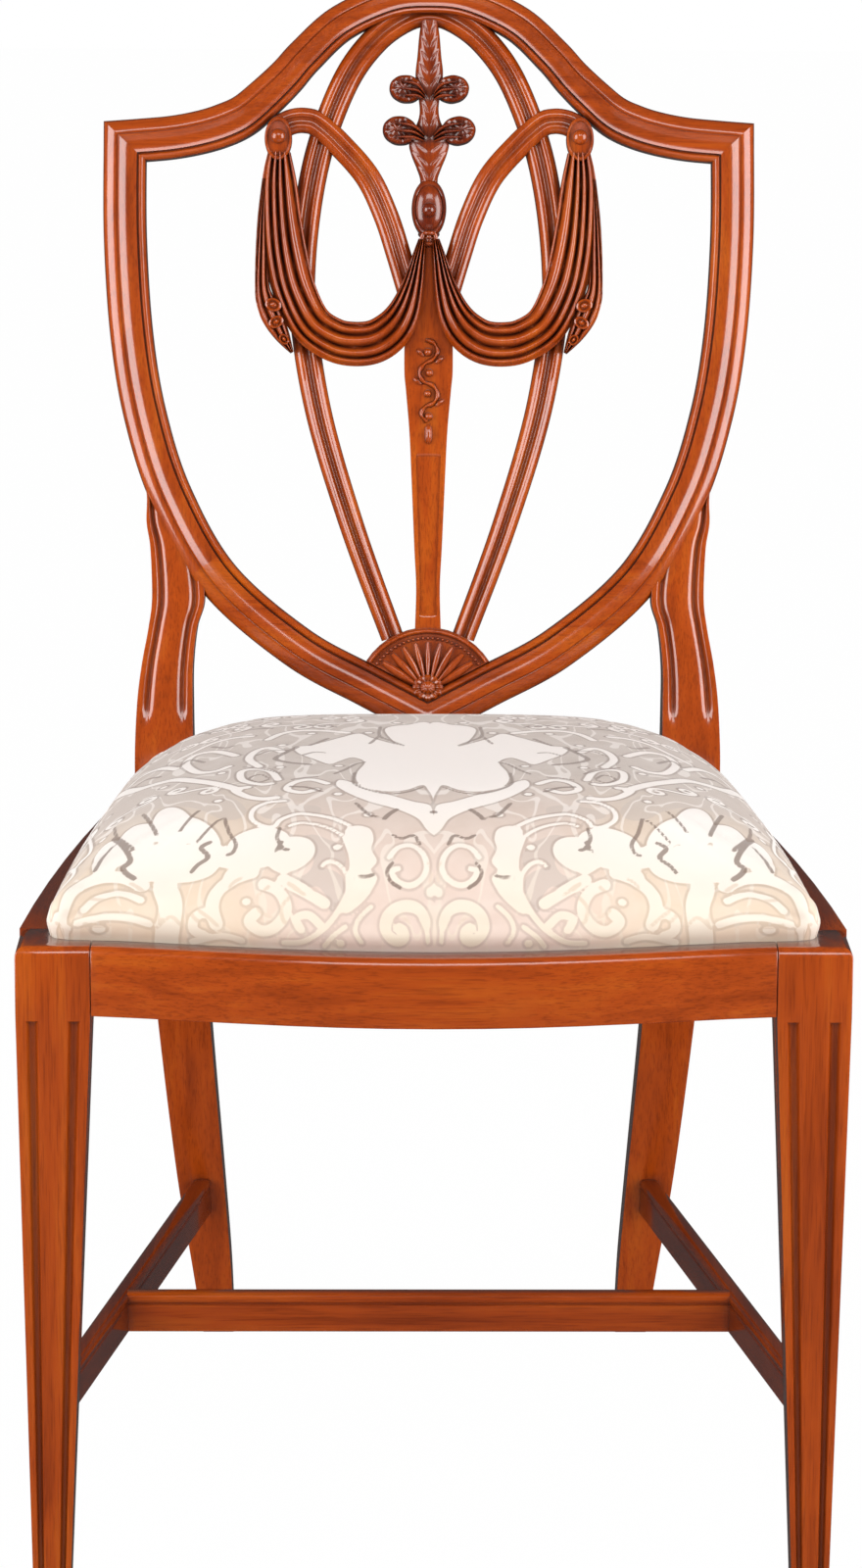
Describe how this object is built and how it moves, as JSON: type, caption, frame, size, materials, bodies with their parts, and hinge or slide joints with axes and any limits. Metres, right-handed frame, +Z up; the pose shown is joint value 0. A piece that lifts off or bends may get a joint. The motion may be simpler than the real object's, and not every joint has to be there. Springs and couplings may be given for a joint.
{
  "type": "dining chair",
  "caption": "Shield back dining side chair in carved mahogany with a splat of bars and swags, fluted tapered legs, an H stretcher and a drop-in damask seat",
  "frame": {"origin": "on the floor under the middle of the chair's bounding box", "axes": "+Z up, +Y towards the back, +X to the right as seen from the front"},
  "size_m": [0.518, 0.592, 0.9792],
  "materials": {
    "mahogany": "gloss",
    "beech": "matte",
    "steel": "satin",
    "jute": "matte",
    "padding": "matte",
    "damask": "matte"
  },
  "bodies": {
    "frame": {"front_leg_left": "mahogany", "front_leg_right": "mahogany", "rear_post_left": "mahogany", "rear_post_right": "mahogany", "crest_rail": "mahogany", "shield_lower_rail": "mahogany", "splat_bar_left": "mahogany", "splat_bar_right": "mahogany", "loop_left": "mahogany", "loop_right": "mahogany", "centre_splat": "mahogany", "swag_left": "mahogany", "swag_right": "mahogany", "lunette": "mahogany", "front_rail": "mahogany", "side_rail_left": "mahogany", "side_rail_right": "mahogany", "rear_rail": "mahogany", "side_stretcher_left": "mahogany", "side_stretcher_right": "mahogany", "cross_stretcher": "mahogany", "corner_block_front_left": "beech", "corner_block_front_right": "beech", "corner_block_rear_left": "beech", "corner_block_rear_right": "beech", "block_screw_front_left_a": "steel", "block_screw_front_left_b": "steel", "block_screw_front_right_a": "steel", "block_screw_front_right_b": "steel", "block_screw_rear_left_a": "steel", "block_screw_rear_left_b": "steel", "block_screw_rear_right_a": "steel", "block_screw_rear_right_b": "steel"},
    "seat": {"seat_frame_front": "beech", "seat_frame_rear": "beech", "seat_frame_left": "beech", "seat_frame_right": "beech", "webbing_lengthwise_1": "jute", "webbing_lengthwise_2": "jute", "webbing_lengthwise_3": "jute", "webbing_crosswise_1": "jute", "webbing_crosswise_2": "jute", "webbing_crosswise_3": "jute", "base_cloth": "jute", "seat_pad": "padding", "seat_cover": "damask", "dust_cloth": "jute"}
  },
  "joints": [
    {"name": "seat_lift", "type": "slide", "parent": "frame", "child": "seat", "axis": [0, 0, 1], "range_m": [0, 0.15]}
  ]
}
